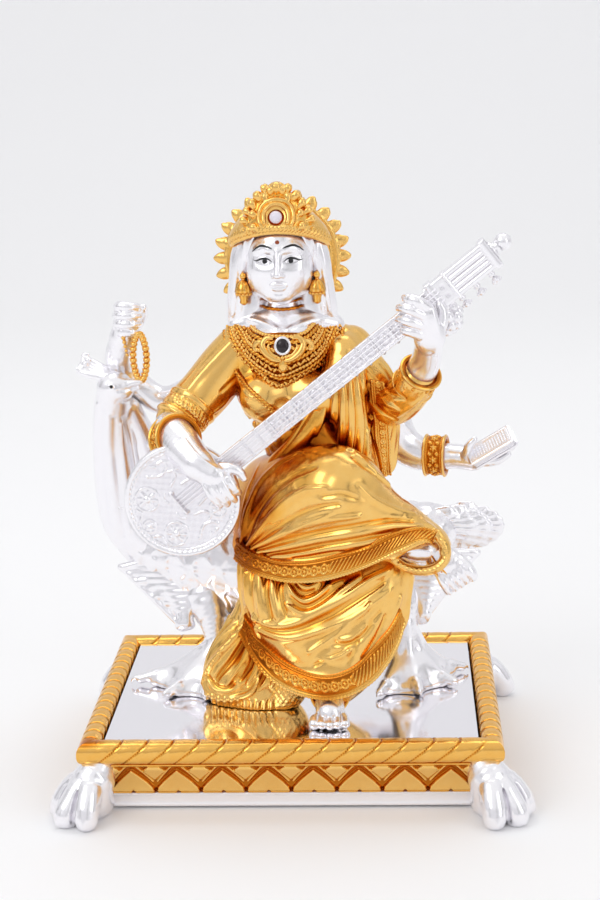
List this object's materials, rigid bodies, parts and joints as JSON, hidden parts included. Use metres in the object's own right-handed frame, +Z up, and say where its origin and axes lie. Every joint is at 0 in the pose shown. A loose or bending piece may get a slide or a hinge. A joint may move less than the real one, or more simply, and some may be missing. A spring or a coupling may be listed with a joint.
{
  "type": "seated goddess statuette on a swan and footed plinth",
  "caption": "Gold- and silver-plated four-armed goddess playing a veena, seated on a swan, on a rope-edged plinth with lion-paw feet.",
  "frame": {"origin": "on the ground under the centre of the base, between the four feet", "axes": "+Z up, -Y the front that the goddess faces, +X to the right of a viewer in front"},
  "size_m": [0.157, 0.129, 0.2032],
  "materials": {
    "gold_plate": "polished gold plating with warm brown in the recesses",
    "silver_plate": "bright polished silver plating",
    "mirror_silver": "flat mirror-polished silver plating",
    "steel": "plain zinc-plated",
    "black_board": "matte",
    "black_felt": "short felt",
    "pearl": "pearl gloss",
    "dark_stone": "polished, nearly black"
  },
  "bodies": {
    "root": {"plinth_band": "silver_plate", "strapwork_moulding": "gold_plate", "rope_border": "gold_plate", "top_plate": "mirror_silver", "paw_front_left": "silver_plate", "paw_front_right": "silver_plate", "paw_rear_left": "silver_plate", "paw_rear_right": "silver_plate", "paw_screws": "steel", "base_cover": "black_board", "base_felt": "black_felt", "cover_screws": "steel", "figure_screws": "steel", "figure_washers": "steel", "swan_body": "silver_plate", "swan_neck": "silver_plate", "swan_crest": "silver_plate", "swan_tail": "silver_plate", "swan_wing_left": "silver_plate", "swan_wing_right": "silver_plate", "swan_leg_left": "silver_plate", "swan_leg_right": "silver_plate", "torso": "gold_plate", "pallu_drape": "gold_plate", "crossed_leg_drape": "gold_plate", "hanging_leg_drape": "gold_plate", "saree_train": "gold_plate", "front_right_sleeve": "gold_plate", "front_right_forearm": "silver_plate", "front_right_bracelet": "gold_plate", "front_left_sleeve": "gold_plate", "front_left_forearm": "silver_plate", "rear_right_arm": "silver_plate", "rear_left_arm": "silver_plate", "rear_left_bracelet": "gold_plate", "rosary": "gold_plate", "manuscript": "silver_plate", "standing_foot": "silver_plate", "standing_anklet": "gold_plate", "raised_foot": "silver_plate", "raised_anklet": "gold_plate", "head": "silver_plate", "hair": "silver_plate", "crown": "gold_plate", "crown_pearl": "pearl", "halo": "gold_plate", "earrings": "gold_plate", "necklaces": "gold_plate", "pendant_bezel": "silver_plate", "pendant_stone": "dark_stone", "neck_dowel": "steel", "veena_bowl": "silver_plate", "veena_soundboard": "silver_plate", "veena_bridge": "silver_plate", "veena_neck": "silver_plate", "veena_frets": "silver_plate", "veena_strings": "silver_plate", "veena_pegbox": "silver_plate", "veena_pegs": "silver_plate", "veena_upper_gourd": "silver_plate"}
  },
  "joints": []
}
